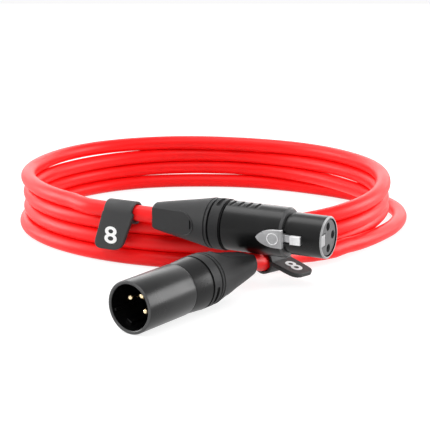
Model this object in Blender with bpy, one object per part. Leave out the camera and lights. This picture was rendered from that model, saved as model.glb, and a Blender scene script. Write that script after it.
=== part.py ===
"""A microphone lead: a socket and a plug connector on one cable, wound into a flat coil of four turns.

Run with: blender --background --python part.py
Metres, +Z up. The coil lies flat on z = 0, and the origin is below the middle of the whole part.
Both connectors are modelled along their own +Z, from the boot's mouth to the rim, with +X towards
the latch or the key, and are then laid down where they rest.
"""

import math

import bmesh
import bpy
from mathutils import Matrix, Vector
from mathutils.geometry import intersect_point_line

# Cable and coil.
CABLE_DIAMETER = 0.00627
COIL_GAP = 0.00047  # between the flats of two turns that lie on each other
COIL_MIDDLE = -0.0040  # across
COIL_FRONT = -0.0343
COIL_TURNS = 4
COIL_STEPS = 24  # points in a turn
COIL_FIRST = 3  # steps past the front where the socket's lead joins the first turn
COIL_LEAVE = 21  # the same where the plug's lead leaves the last turn
COIL_RADIUS = 0.0753
COIL_OVAL = 0.0018
OVAL_ANGLE = -37.0
BASE_CUT = 0.1 * CABLE_DIAMETER  # the coil is cut flat where it stands
# How far each turn strays from the oval: distance out, plan angle, spread.
TURN_SWELLS = (
    (
        (0.0014, 138.0, 22.0),
        (-0.0026, 75.0, 28.0),
        (0.0007, 5.0, 20.0),
        (0.0022, -36.0, 26.0),
        (-0.0016, -112.0, 24.0),
    ),
    ((-0.0014, 136.0, 22.0), (-0.0010, 50.0, 25.0), (0.0018, -36.0, 26.0)),
    ((-0.0050, 0.0, 34.0), (-0.0033, -52.0, 28.0), (0.0019, -168.0, 28.0)),
    (
        (0.0019, -168.0, 28.0),
        (-0.0022, 100.0, 22.0),
        (0.0111, 11.0, 31.0),
        (0.0029, -48.0, 20.0),
    ),
)
# A turn, counted from the coil's left end over the back, steps down one layer in this share of it.
DROP_START = 0.47
DROP_SHARE = 0.30
RISE_STEPS = 2  # the last steps rise from the cut base to the height of the lead
COIL_END_HEIGHT = 0.0046

# Clearances and edges.
SEAM = 0.0003  # between pieces that touch
PIVOT_GAP = 0.00015
EDGE_BEVEL = 0.0003
OVERLAP = 0.0008  # of blocks that are joined into one piece
CUT_REACH = 0.0010  # how far a cutter reaches past the face that it opens

# Boot, the same on both connectors.
BOOT_LENGTH = 0.0266
BOOT_RADIUS = 0.0098
BOOT_MOUTH_WIDTH = 0.0106
BOOT_MOUTH_THICKNESS = 0.0072
BOOT_MOUTH_BEVEL = 0.0006
BOOT_FLAT_LENGTH = 0.0170
BOOT_NOSE_DEPTH = 0.0120  # where the narrow bore round the jacket ends

# Collar ring between boot and housing.
RING_LENGTH = 0.0048
RING_SLOT_LENGTH = 0.0066
RING_SLOT_WIDTH = 0.0016
RING_SLOT_DEPTH = 0.0011
FEMALE_SLOT_ANGLE = -78.0
MALE_SLOT_ANGLE = 68.0

# Housing tail, which the boot screws onto.
TAIL_RADIUS = 0.0071
TAIL_WALL = 0.0012
TAIL_LENGTH = 0.0135

# Chuck that grips the jacket.
CHUCK_TAPER = 0.0012
CHUCK_SLOT_WIDTH = 0.0010
CHUCK_SLOT_LENGTH = 0.0080
CHUCK_END_INSET = 0.0014  # from the end of the jacket

# Cores and contacts.
CORE_RADIUS = 0.00075
CORE_SPREAD = 0.0014
CONTACT_CIRCLE = 0.0038
CONTACT_RADIUS = 0.00119
CONTACT_BORE_RADIUS = 0.0008
CONTACT_BORE_DEPTH = 0.0120
CONTACT_CUP_DEPTH = 0.0020
CONTACT_TAIL = 0.0025  # solder cup behind the insert
CONTACT_ANGLES = (90.0, 270.0, 180.0)
# A core's way from the jacket to its cup: share of the length, distance from the axis.
CORE_WAY = ((0.0, CORE_SPREAD), (0.3, CORE_SPREAD), (0.7, CONTACT_CIRCLE), (1.0, CONTACT_CIRCLE))

# Socket connector (female).
FEMALE_MOUTH = Vector((-0.0219, -0.0352))
FEMALE_HEIGHT = 0.02175
FEMALE_AZIMUTH = -28.0
LATCH_DROOP = 3.5
FEMALE_LENGTH = 0.0720
BODY_RADIUS = 0.0093
BODY_LENGTH = 0.0245
NOSE_RADIUS = 0.0078
NOSE_WALL = 0.0008
INSERT_BACK_REACH = 0.0068  # from the shoulder to the insert's back
FEMALE_CORE_LENGTH = 0.0165
INSERT_FACE_DEPTH = 0.0004
CONTACT_FACE_DEPTH = 0.0030
REAR_BORE_DEPTH = 0.0020  # how far the tail's narrow bore reaches into the body
RIB_COUNT = 4
RIB_START = 0.0011  # the first groove, from the body's rear
RIB_PITCH = 0.0034
RIB_GROOVE_WIDTH = 0.0007
RIB_GROOVE_DEPTH = 0.0004
SHOULDER_CHAMFER = 0.0009
SHOULDER_GROOVE_RADIUS = 0.0074
SHOULDER_GROOVE_LENGTH = 0.0024

# Latch: a push plate on a pin, with a neck, a hook and a tongue in the keyway.
LATCH_LENGTH = 0.0104
LATCH_WIDTH = 0.0067
LATCH_THICKNESS = 0.0017
LATCH_PROUD = 0.0004
LATCH_MARGIN = 0.0003
LATCH_SQUARE_SHARE = 0.35  # of the plate's length, before it narrows to its round tip
LATCH_TIP_STEPS = 6
LATCH_FRONT_REACH = 0.0009  # how far the plate's front edge lies past the shoulder
NECK_LENGTH = 0.0028
NECK_WIDTH = 0.0028
NECK_THICKNESS = 0.0010
HOOK_LENGTH = 0.0041
HOOK_WIDTH = 0.0032
HOOK_PROUD = 0.0010
TONGUE_WIDTH = 0.0042
TONGUE_THICKNESS = 0.0014
TONGUE_RADIUS = 0.0066
TONGUE_END_DEPTH = 0.0010
PIN_RADIUS = 0.0005
PIN_INSET = 0.0024  # from the plate's rear tip
PIN_SEAT = 0.0010
LEAF_THICKNESS = 0.00025
LEAF_WIDTH = 0.0030
LEAF_LENGTH = 0.0050
LEAF_START = 0.0022  # ahead of the pin
LEAF_FLAT = 0.0012  # the stretch that lies under the plate
LEAF_PLAY = 0.0001
LEAF_BEND = 2.4  # outer height of the fold, in thicknesses
POCKET_DEPTH = 0.0008  # in the insert, under the plate
KEYWAY_DEPTH = 0.0032  # in the insert, under the hook and the tongue
LUG_HALF = 0.0011
LUG_SINK = 0.0005  # into the plate
NECK_DROP = 0.0006  # from the plate's underside
PIN_ROUND = 12

# Plug connector (male).
MALE_MOUTH = Vector((0.0120, -0.0615))
MALE_AZIMUTH = 232.5
KEY_DROOP = 60.5
MALE_LENGTH = 0.0658
SHELL_RADIUS = 0.0093
SHELL_FRONT_LENGTH = 0.0249
SHELL_STEP_LENGTH = 0.0005
SHELL_WAIST_RADIUS = 0.0090  # behind the front part
SHELL_BACK_RADIUS = 0.0096  # where the shell meets the ring
SHELL_BORE_RADIUS = 0.00805
CAVITY_DEPTH = 0.0158
MALE_INSERT_LENGTH = 0.0146
MALE_CORE_LENGTH = 0.0055
PIN_RECESS = 0.0038
PIN_TIP_STEPS = 4
KEY_WIDTH = 0.0024
KEY_HEIGHT = 0.0010
KEY_START_DEPTH = 0.0040
KEY_SINK = 0.0006  # into the shell's wall
RIM_BEVEL = 0.0004
SHELL_BORE_REACH = 0.0015  # how far the wide bore reaches behind the insert
GROUND_FLAT_DEPTH = 0.0010
GROUND_FLAT_END = 0.0020  # from the insert's front
GROUND_INSET = 0.0010  # of the spring from the flat's ends
GROUND_PLAY = 0.00002

# Cable tags.
TAG_LENGTH = 0.0127
TAG_WALL = 0.0010
TAG_FLAP_THICKNESS = 0.0017
TAG_FLAP_REACH = 0.0150
TAG_CORNER = 0.0040
TAG_CORNER_STEPS = 4
TAG_ROUND = 24
TAG_FEMALE_OFFSET = 0.0150  # the collar's middle, from the boot's mouth
TAG_FEMALE_LEAN = 5.0
TAG_FEMALE_SLANT = 0.0045  # how far the flap's end lies further from the boot than its root
TAG_MALE_LEAN = 18.0
TAG_MALE_LEVEL = -0.0006  # the flap's underside, from the cable's axis and above it
TAG_MALE_SLANT = 0.0010

# Route of the plug's lead from its boot to the coil.
MALE_LEAD_STRAIGHT = 0.0020  # out of the boot
MALE_LEAD_GAP = 0.0005  # between the lead and the socket's body above it
MALE_LEAD_TO_TAG = ((0.0181, -0.0535, 0.0081), (0.0261, -0.0431, 0.0071))  # the tag sits between these
# From the tag to the coil's end: share of the way, distance to its left, share of the descent.
MALE_LEAD_TO_COIL = ((0.235, 0.00110, 0.35), (0.486, 0.00115, 0.62), (0.715, 0.00025, 0.85))

ROUND = 32
SHELL_ROUND = 40
CHUCK_ROUND = 24
SMALL_ROUND = 16
CORE_ROUND = 8

# Worked out from the values above.
CABLE_RADIUS = CABLE_DIAMETER / 2
COIL_FLAT = CABLE_DIAMETER - COIL_GAP
COIL_BASE_HEIGHT = COIL_FLAT / 2 - BASE_CUT
COIL_LAST = COIL_STEPS * (COIL_TURNS - 1) + COIL_LEAVE
JACKET_BORE = CABLE_RADIUS + SEAM
RING_START = BOOT_LENGTH + SEAM
HOUSING_START = RING_START + RING_LENGTH + SEAM
TAIL_START = HOUSING_START - TAIL_LENGTH
TAIL_BORE = TAIL_RADIUS - TAIL_WALL
SHOULDER = HOUSING_START + BODY_LENGTH
NOSE_BORE = NOSE_RADIUS - NOSE_WALL
CHUCK_START = BOOT_NOSE_DEPTH + 2 * SEAM
FEMALE_INSERT_FRONT = FEMALE_LENGTH - INSERT_FACE_DEPTH
FEMALE_INSERT_BACK = SHOULDER - INSERT_BACK_REACH
FEMALE_CUP_START = FEMALE_INSERT_BACK - CONTACT_TAIL
FEMALE_JACKET_DEPTH = FEMALE_CUP_START - FEMALE_CORE_LENGTH  # from the boot's mouth
MALE_INSERT_FRONT = MALE_LENGTH - CAVITY_DEPTH
MALE_INSERT_BACK = MALE_INSERT_FRONT - MALE_INSERT_LENGTH
MALE_CUP_START = MALE_INSERT_BACK - CONTACT_TAIL
MALE_JACKET_DEPTH = MALE_CUP_START - MALE_CORE_LENGTH
LATCH_FRONT = SHOULDER + LATCH_FRONT_REACH
LATCH_BACK = LATCH_FRONT - LATCH_LENGTH
LATCH_TOP = BODY_RADIUS + LATCH_PROUD
LATCH_UNDER = LATCH_TOP - LATCH_THICKNESS
PIVOT = Vector((LATCH_UNDER, 0.0, LATCH_BACK + PIN_INSET))
POCKET_FLOOR = NOSE_BORE - SEAM - POCKET_DEPTH
# The plug lies on its rim and on the front edge of its ring.
MALE_TILT = math.atan2(BOOT_RADIUS - SHELL_RADIUS, MALE_LENGTH - RING_START - RING_LENGTH)
MALE_HEIGHT = MALE_LENGTH * math.sin(MALE_TILT) + SHELL_RADIUS * math.cos(MALE_TILT)
TAG_BORE = CABLE_RADIUS + SEAM
TAG_RADIUS = TAG_BORE + TAG_WALL


def direction(azimuth):
    angle = math.radians(azimuth)
    return Vector((math.cos(angle), math.sin(angle), 0.0))


def laid_down(mouth, height, azimuth, droop, tilt=0.0):
    """The frame of a connector: +Z from mouth to rim, +X aside and turned down by droop degrees."""
    along = direction(azimuth) * math.cos(tilt) - Vector((0.0, 0.0, math.sin(tilt)))
    aside = Vector((along.y, -along.x, 0.0)).normalized()
    turn = math.radians(droop)
    towards = aside * math.cos(turn) + along.cross(aside) * math.sin(turn)
    across = along.cross(towards)
    frame = Matrix((towards, across, along)).transposed().to_4x4()
    frame.translation = Vector((mouth.x, mouth.y, height))
    return frame


# Materials.


def make_material(name, colour, roughness, metallic=0.0):
    material = bpy.data.materials.new(name)
    material.use_nodes = True
    material.diffuse_color = (*colour, 1.0)
    shader = material.node_tree.nodes["Principled BSDF"]
    shader.inputs["Base Color"].default_value = (*colour, 1.0)
    shader.inputs["Roughness"].default_value = roughness
    shader.inputs["Metallic"].default_value = metallic
    return material


def make_materials():
    return {
        "red_jacket": make_material("red_jacket", (0.87, 0.015, 0.02), 0.42),
        "black_metal": make_material("black_metal", (0.012, 0.012, 0.013), 0.33, 0.4),
        "boot_rubber": make_material("boot_rubber", (0.03, 0.03, 0.032), 0.6),
        "tag_rubber": make_material("tag_rubber", (0.022, 0.022, 0.024), 0.7),
        "insert_plastic": make_material("insert_plastic", (0.035, 0.035, 0.038), 0.5),
        "silver": make_material("silver", (0.68, 0.68, 0.69), 0.3, 1.0),
        "gold": make_material("gold", (0.83, 0.6, 0.28), 0.25, 1.0),
        "spring_steel": make_material("spring_steel", (0.55, 0.55, 0.56), 0.35, 1.0),
        "chuck_plastic": make_material("chuck_plastic", (0.04, 0.04, 0.04), 0.55),
        "red_core": make_material("red_core", (0.55, 0.02, 0.02), 0.5),
        "white_core": make_material("white_core", (0.8, 0.8, 0.78), 0.5),
        "bare_core": make_material("bare_core", (0.75, 0.42, 0.25), 0.4, 1.0),
    }


# Mesh helpers.


def mesh_object(name, work, material, frame=None, smooth=35.0):
    mesh = bpy.data.meshes.new(name)
    bmesh.ops.recalc_face_normals(work, faces=work.faces)
    work.to_mesh(mesh)
    work.free()
    mesh.shade_smooth()
    mesh.set_sharp_from_angle(angle=math.radians(smooth))
    made = bpy.data.objects.new(name, mesh)
    bpy.context.collection.objects.link(made)
    if material:
        mesh.materials.append(material)
    if frame is not None:
        made.matrix_world = frame
    return made


def turned(outline, segments=ROUND):
    """A closed outline of (radius, height) points, turned about Z."""
    work = bmesh.new()
    points = [work.verts.new((radius, 0.0, height)) for radius, height in outline]
    edges = [work.edges.new((a, b)) for a, b in zip(points, points[1:] + points[:1])]
    bmesh.ops.spin(
        work,
        geom=points + edges,
        cent=(0.0, 0.0, 0.0),
        axis=(0.0, 0.0, 1.0),
        angle=2 * math.pi,
        steps=segments,
        use_merge=True,
    )
    bmesh.ops.remove_doubles(work, verts=work.verts, dist=1e-7)
    bmesh.ops.dissolve_degenerate(work, edges=work.edges, dist=1e-7)
    return work


def prism(outline, low, high):
    """An outline of (along, across) points, extruded from low to high along X: (x, across, along)."""
    work = bmesh.new()
    face = work.faces.new([work.verts.new((low, across, along)) for along, across in outline])
    extruded = bmesh.ops.extrude_face_region(work, geom=[face])
    moved = [item for item in extruded["geom"] if isinstance(item, bmesh.types.BMVert)]
    bmesh.ops.translate(work, verts=moved, vec=(high - low, 0.0, 0.0))
    return work


def strip(outline):
    """A leaf spring's side outline of (along, x) points, as wide as the leaf."""
    work = bmesh.new()
    side = -LEAF_WIDTH / 2
    face = work.faces.new([work.verts.new((aloft, side, along)) for along, aloft in outline])
    extruded = bmesh.ops.extrude_face_region(work, geom=[face])
    moved = [item for item in extruded["geom"] if isinstance(item, bmesh.types.BMVert)]
    bmesh.ops.translate(work, verts=moved, vec=(0.0, LEAF_WIDTH, 0.0))
    return work


def block(low, high):
    work = bmesh.new()
    middle = [(a + b) / 2 for a, b in zip(low, high)]
    sizes = [b - a for a, b in zip(low, high)]
    place = Matrix.Translation(middle) @ Matrix.Diagonal((*sizes, 1.0))
    bmesh.ops.create_cube(work, size=1.0, matrix=place)
    return work


def rod(radius, start, end, segments=SMALL_ROUND):
    work = bmesh.new()
    span = Vector(end) - Vector(start)
    turn = span.to_track_quat("Z", "Y").to_matrix().to_4x4()
    place = Matrix.Translation((Vector(start) + Vector(end)) / 2) @ turn
    bmesh.ops.create_cone(
        work,
        cap_ends=True,
        segments=segments,
        radius1=radius,
        radius2=radius,
        depth=span.length,
        matrix=place,
    )
    return work


def combine(target, tool_mesh, operation, frame=None):
    """Cuts or joins with a hidden, wireframe tool."""
    tool = mesh_object(target.name + "_tool", tool_mesh, None, frame)
    tool.hide_render = True
    tool.display_type = "WIRE"
    change = target.modifiers.new(operation.lower(), "BOOLEAN")
    change.operation = operation
    change.solver = "EXACT"
    change.object = tool
    return tool


def tube(name, points, radius, sides, material):
    """A round cable along its points. The spline's ends are square and capped."""
    curve = bpy.data.curves.new(name, "CURVE")
    curve.dimensions = "3D"
    curve.twist_mode = "Z_UP"
    curve.bevel_depth = radius
    curve.bevel_resolution = sides // 2 - 2
    curve.use_fill_caps = True
    spline = curve.splines.new("POLY")
    spline.points.add(len(points) - 1)
    for point, place in zip(spline.points, points):
        point.co = (*place, 1.0)
    if material:
        curve.materials.append(material)
    made = bpy.data.objects.new(name, curve)
    bpy.context.collection.objects.link(made)
    return made


# Cable route.


def swell(angle, turn):
    """How far this turn lies outside the oval at a plan angle."""
    total = 0.0
    for distance, middle, spread in TURN_SWELLS[turn]:
        away = (angle - middle + 180.0) % 360.0 - 180.0
        total += distance * math.exp(-((away / spread) ** 2))
    return total


def coil_point(step):
    """The coil's centreline, clockwise from above. Step 0 is the front of the first turn."""
    past_left = step / COIL_STEPS - 0.25
    turn = min(max(math.floor(past_left), 0), COIL_TURNS - 1)
    share = past_left - math.floor(past_left)
    angle = 180.0 - 360.0 * share
    radius = COIL_RADIUS + COIL_OVAL * math.cos(2 * math.radians(angle - OVAL_ANGLE))
    layer = COIL_TURNS - 1 - turn
    if past_left >= 0.0:
        radius += swell(angle, turn)
        if layer:
            dropped = min(max((share - DROP_START) / DROP_SHARE, 0.0), 1.0)
            layer -= dropped * dropped * (3 - 2 * dropped)
    rise = max(1.0 - (COIL_LAST - step) / RISE_STEPS, 0.0)
    heading = math.radians(angle)
    return Vector(
        (
            COIL_MIDDLE + radius * math.cos(heading),
            COIL_FRONT + COIL_RADIUS + radius * math.sin(heading),
            COIL_BASE_HEIGHT + layer * CABLE_DIAMETER + rise * (COIL_END_HEIGHT - COIL_BASE_HEIGHT),
        )
    )


def coil_ends():
    """The middle of each end face and the way that it faces. The ends run straight and level."""
    start = coil_point(COIL_FIRST)
    away = start - coil_point(COIL_FIRST + 0.5)
    finish = coil_point(COIL_LAST)
    onward = finish - coil_point(COIL_LAST - 0.5)
    away.z = onward.z = 0.0
    away.normalize()
    onward.normalize()
    return start + away * CABLE_DIAMETER, away, finish + onward * CABLE_DIAMETER, onward


def coil_route():
    head, _, tail, _ = coil_ends()
    return [head] + [coil_point(step) for step in range(COIL_FIRST, COIL_LAST + 1)] + [tail]


def smooth_route(points):
    """A smooth curve through the points between the first and the last, with its spans halved."""
    route = []
    for before, start, end, after in zip(points, points[1:], points[2:], points[3:]):
        route += [start, (start + end) * 9 / 16 - (before + after) / 16]
    return route + [points[-2]]


def leave(frame, distance):
    """A point on a connector's axis, outside its boot."""
    return frame @ Vector((0.0, 0.0, -distance))


def female_lead_route(frame):
    head, away, _, _ = coil_ends()
    mouth = leave(frame, 0.0)
    straight = leave(frame, TAG_FEMALE_OFFSET + TAG_LENGTH / 2 + SEAM)
    end = head + away * SEAM
    return [mouth] + smooth_route([mouth, straight, end + away * CABLE_DIAMETER, end]) + [end]


def under_body():
    """The plug's lead, where it passes under the middle of the socket's body."""
    heading, backward = direction(FEMALE_AZIMUTH).xy, -direction(MALE_AZIMUTH).xy
    apart = FEMALE_MOUTH - MALE_MOUTH
    out = apart.cross(heading) / backward.cross(heading)
    height = FEMALE_HEIGHT - BODY_RADIUS - MALE_LEAD_GAP - CABLE_RADIUS
    return Vector((*(MALE_MOUTH + backward * out), height))


def male_lead_route(frame):
    _, _, tail, onward = coil_ends()
    end = tail + onward * SEAM
    near, far = [Vector(point) for point in MALE_LEAD_TO_TAG]
    last = end + onward * CABLE_RADIUS
    way = last - far
    left = Vector((-way.y, way.x, 0.0)).normalized()
    level = Vector((way.x, way.y, 0.0))
    middle = [
        far + level * share + left * aside + Vector((0.0, 0.0, way.z * sunk))
        for share, aside, sunk in MALE_LEAD_TO_COIL
    ]
    mouth = leave(frame, 0.0)
    start = smooth_route([mouth, leave(frame, MALE_LEAD_STRAIGHT), under_body(), near, far])
    return [mouth] + start + smooth_route([near, far, *middle, last, end]) + [end]


def print_least_gap(points):
    """Prints the coil's least gap to itself, between the faces of stretches over half a turn apart."""
    least = math.inf
    for i, point in enumerate(points):
        for start, end in zip(points[i + COIL_STEPS // 2 :], points[i + COIL_STEPS // 2 + 1 :]):
            share = intersect_point_line(point, start, end)[1]
            apart = start.lerp(end, min(max(share, 0.0), 1.0)) - point
            level, aloft = apart.xy.length, abs(apart.z)
            across = math.cos(math.pi / 6) * level + math.sin(math.pi / 6) * aloft
            least = min(least, max(aloft, across) - COIL_FLAT)
    print(f"coil: least gap to itself {1000 * least:.2f} mm")


def make_coil(materials):
    route = coil_route()
    radius = COIL_FLAT / 2 / math.cos(math.pi / 6)
    wound = tube("cable_coil", route, radius, 6, None)
    mesh = bpy.data.meshes.new_from_object(wound)
    bpy.data.objects.remove(wound)
    coil = bpy.data.objects.new("cable_coil", mesh)
    bpy.context.collection.objects.link(coil)
    mesh.materials.append(materials["red_jacket"])
    mesh.shade_smooth()
    print_least_gap(route)
    reach = 2 * COIL_RADIUS
    below = block((-reach, -reach, -CABLE_DIAMETER), (reach, reach, 0.0))
    combine(coil, below, "DIFFERENCE")


# Pieces of both connectors.


def boot_radius_at(height):
    grown = (BOOT_RADIUS - BOOT_MOUTH_WIDTH / 2) / BOOT_LENGTH
    return BOOT_MOUTH_WIDTH / 2 + grown * height


def make_boot(side, frame, materials):
    mouth = BOOT_MOUTH_WIDTH / 2
    bevel = BOOT_MOUTH_BEVEL
    tail_bore = TAIL_RADIUS + SEAM
    outline = [
        (JACKET_BORE, 0.0),
        (mouth - bevel, 0.0),
        (boot_radius_at(bevel), bevel),
        (BOOT_RADIUS, BOOT_LENGTH),
        (tail_bore, BOOT_LENGTH),
        (tail_bore, TAIL_START - SEAM),
        (TAIL_BORE, TAIL_START - SEAM),
        (TAIL_BORE, BOOT_NOSE_DEPTH),
        (JACKET_BORE, BOOT_NOSE_DEPTH),
    ]
    boot = mesh_object(f"{side}_boot", turned(outline), materials["boot_rubber"], frame)
    rise = boot_radius_at(BOOT_FLAT_LENGTH) - BOOT_MOUTH_THICKNESS / 2
    slope = math.atan2(rise, BOOT_FLAT_LENGTH)
    for facing in (0.0, math.pi):
        away = Matrix.Rotation(facing, 4, "Z")
        lean = Matrix.Rotation(slope, 4, "Y")
        start = Matrix.Translation((BOOT_MOUTH_THICKNESS / 2, 0.0, 0.0))
        wedge = block((0.0, -BOOT_RADIUS, -BOOT_LENGTH), (2 * BOOT_RADIUS, BOOT_RADIUS, 2 * BOOT_LENGTH))
        combine(boot, wedge, "DIFFERENCE", frame @ away @ start @ lean)
    return boot


def make_ring(side, frame, slot_angle, materials):
    bore = TAIL_RADIUS + SEAM
    outline = [
        (bore, RING_START),
        (BOOT_RADIUS - EDGE_BEVEL, RING_START),
        (BOOT_RADIUS, RING_START + EDGE_BEVEL),
        (BOOT_RADIUS, RING_START + RING_LENGTH - EDGE_BEVEL),
        (BOOT_RADIUS - EDGE_BEVEL, RING_START + RING_LENGTH),
        (bore, RING_START + RING_LENGTH),
    ]
    ring = mesh_object(f"{side}_coding_ring", turned(outline), materials["boot_rubber"], frame)
    middle = RING_START + RING_LENGTH / 2
    slot = block(
        (BOOT_RADIUS - RING_SLOT_DEPTH, -RING_SLOT_LENGTH / 2, middle - RING_SLOT_WIDTH / 2),
        (BOOT_RADIUS * 1.5, RING_SLOT_LENGTH / 2, middle + RING_SLOT_WIDTH / 2),
    )
    turn = Matrix.Rotation(math.radians(slot_angle), 4, "Z")
    combine(ring, slot, "DIFFERENCE", frame @ turn)
    return ring


def make_chuck(side, frame, jacket_depth, materials):
    outer = TAIL_BORE - SEAM
    end = jacket_depth - CHUCK_END_INSET
    outline = [
        (JACKET_BORE, CHUCK_START),
        (outer - CHUCK_TAPER, CHUCK_START),
        (outer, CHUCK_START + CHUCK_TAPER),
        (outer, end),
        (JACKET_BORE, end),
    ]
    chuck = mesh_object(f"{side}_chuck", turned(outline, CHUCK_ROUND), materials["chuck_plastic"], frame)
    half = CHUCK_SLOT_WIDTH / 2
    reach = 2 * outer
    for turn in (0.25, 0.75):
        slot = block(
            (-reach, -half, CHUCK_START - CHUCK_SLOT_LENGTH),
            (reach, half, CHUCK_START + CHUCK_SLOT_LENGTH),
        )
        combine(chuck, slot, "DIFFERENCE", frame @ Matrix.Rotation(math.pi * turn, 4, "Z"))
    return chuck


def make_cable_end(side, frame, jacket_depth, materials):
    """The end of the jacket inside the boot and the chuck."""
    start = frame @ Vector((0.0, 0.0, SEAM))
    end = frame @ Vector((0.0, 0.0, jacket_depth))
    return mesh_object(
        f"{side}_cable_end", rod(CABLE_RADIUS, start, end), materials["red_jacket"]
    )


def contact_place(number):
    angle = math.radians(CONTACT_ANGLES[number])
    return Vector((math.cos(angle), math.sin(angle), 0.0))


def make_wires(side, frame, jacket_depth, cup_start, materials):
    """The two cores and the drain, fanned out from the jacket to the solder cups."""
    for number, finish in enumerate(("bare_core", "red_core", "white_core")):
        out = contact_place(number)
        start = jacket_depth + SEAM
        end = cup_start - SEAM
        points = [
            frame @ (out * spread + Vector((0.0, 0.0, start + (end - start) * share)))
            for share, spread in CORE_WAY
        ]
        tube(f"{side}_wire_{number + 1}", points, CORE_RADIUS, CORE_ROUND, materials[finish])


# Socket connector.


def body_outline():
    back_bore_end = HOUSING_START + REAR_BORE_DEPTH
    edge = EDGE_BEVEL
    outer = [(TAIL_RADIUS, TAIL_START), (TAIL_RADIUS, HOUSING_START)]
    outer += [(BODY_RADIUS - edge, HOUSING_START), (BODY_RADIUS, HOUSING_START + edge)]
    for rib in range(RIB_COUNT):
        groove = HOUSING_START + RIB_START + rib * RIB_PITCH
        low = BODY_RADIUS - RIB_GROOVE_DEPTH
        outer += [
            (BODY_RADIUS, groove),
            (low, groove + edge / 2),
            (low, groove + RIB_GROOVE_WIDTH - edge / 2),
            (BODY_RADIUS, groove + RIB_GROOVE_WIDTH),
        ]
    outer += [
        (BODY_RADIUS, SHOULDER - SHOULDER_CHAMFER),
        (BODY_RADIUS - SHOULDER_CHAMFER, SHOULDER),
        (SHOULDER_GROOVE_RADIUS, SHOULDER),
        (SHOULDER_GROOVE_RADIUS, SHOULDER + SHOULDER_GROOVE_LENGTH),
        (NOSE_RADIUS, SHOULDER + SHOULDER_GROOVE_LENGTH),
        (NOSE_RADIUS, FEMALE_LENGTH - edge),
        (NOSE_RADIUS - edge, FEMALE_LENGTH),
    ]
    inner = [
        (NOSE_BORE, FEMALE_LENGTH),
        (NOSE_BORE, back_bore_end),
        (TAIL_BORE, back_bore_end),
        (TAIL_BORE, TAIL_START),
    ]
    return outer + inner


def plate_outline(margin=0.0):
    """The push plate's bullet shape: round tip at the back, square at the front."""
    half = LATCH_WIDTH / 2 + margin
    back = LATCH_BACK - margin
    front = LATCH_FRONT + margin
    points = [(front, -half), (front, half)]
    for i in range(LATCH_TIP_STEPS + 1):
        share = i / LATCH_TIP_STEPS
        narrowing = (1 - LATCH_SQUARE_SHARE) * math.sin(share * math.pi / 2)
        along = front - (front - back) * (LATCH_SQUARE_SHARE + narrowing)
        across = half * math.cos(share * math.pi / 2)
        points.append((along, max(across, 0.0)))
    mirrored = [(along, -across) for along, across in points[-2:1:-1]]
    return points + mirrored


def make_housing(frame, materials):
    housing = mesh_object("female_housing", turned(body_outline()), materials["black_metal"], frame)
    reach = 2 * BODY_RADIUS
    inside = NOSE_BORE / 2
    window = prism(plate_outline(LATCH_MARGIN), inside, reach)
    combine(housing, window, "DIFFERENCE", frame)
    half = HOOK_WIDTH / 2 + LATCH_MARGIN
    hook_end = LATCH_FRONT + NECK_LENGTH + HOOK_LENGTH + LATCH_MARGIN
    slot = block((inside, -half, LATCH_FRONT), (reach, half, hook_end))
    combine(housing, slot, "DIFFERENCE", frame)
    seat = Vector((0.0, pin_half_length() + PIVOT_GAP, 0.0))
    hole = rod(PIN_RADIUS + PIVOT_GAP, PIVOT - seat, PIVOT + seat, PIN_ROUND)
    combine(housing, hole, "DIFFERENCE", frame)
    return housing


def pin_half_length():
    """The pin reaches past the window's sides into the housing."""
    share = 1 - (PIN_INSET + LATCH_MARGIN) / (LATCH_LENGTH * (1 - LATCH_SQUARE_SHARE))
    half = (LATCH_WIDTH / 2 + LATCH_MARGIN) * math.sqrt(1 - share**2)
    return half + PIN_SEAT


def make_female_insert(frame, materials):
    radius = NOSE_BORE - SEAM
    outline = [
        (0.0, FEMALE_INSERT_BACK),
        (radius, FEMALE_INSERT_BACK),
        (radius, FEMALE_INSERT_FRONT - EDGE_BEVEL),
        (radius - EDGE_BEVEL, FEMALE_INSERT_FRONT),
        (0.0, FEMALE_INSERT_FRONT),
    ]
    insert = mesh_object(
        "female_insert", turned(outline), materials["insert_plastic"], frame
    )
    half = LATCH_WIDTH / 2 + LATCH_MARGIN
    pocket = block(
        (POCKET_FLOOR, -half, FEMALE_INSERT_BACK - CUT_REACH),
        (2 * radius, half, LATCH_FRONT + LATCH_MARGIN),
    )
    combine(insert, pocket, "DIFFERENCE", frame)
    half = TONGUE_WIDTH / 2 + LATCH_MARGIN
    keyway = block(
        (radius - KEYWAY_DEPTH, -half, LATCH_FRONT - CUT_REACH),
        (2 * radius, half, FEMALE_LENGTH + CUT_REACH),
    )
    combine(insert, keyway, "DIFFERENCE", frame)
    for number in range(len(CONTACT_ANGLES)):
        place = contact_place(number) * CONTACT_CIRCLE
        hole = rod(
            CONTACT_RADIUS + SEAM,
            place + Vector((0.0, 0.0, FEMALE_INSERT_BACK - CUT_REACH)),
            place + Vector((0.0, 0.0, FEMALE_INSERT_FRONT + CUT_REACH)),
        )
        combine(insert, hole, "DIFFERENCE", frame)
    return insert


def make_female_contacts(frame, materials):
    front = FEMALE_INSERT_FRONT - CONTACT_FACE_DEPTH
    back = FEMALE_CUP_START
    outline = [
        (0.0, back + CONTACT_CUP_DEPTH),
        (CONTACT_BORE_RADIUS, back + CONTACT_CUP_DEPTH),
        (CONTACT_BORE_RADIUS, back),
        (CONTACT_RADIUS, back),
        (CONTACT_RADIUS, front),
        (CONTACT_BORE_RADIUS, front),
        (CONTACT_BORE_RADIUS, front - CONTACT_BORE_DEPTH),
        (0.0, front - CONTACT_BORE_DEPTH),
    ]
    for number in range(len(CONTACT_ANGLES)):
        shift = Matrix.Translation(contact_place(number) * CONTACT_CIRCLE)
        mesh_object(
            f"female_contact_{number + 1}",
            turned(outline, SMALL_ROUND),
            materials["gold"],
            frame @ shift,
        )


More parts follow.
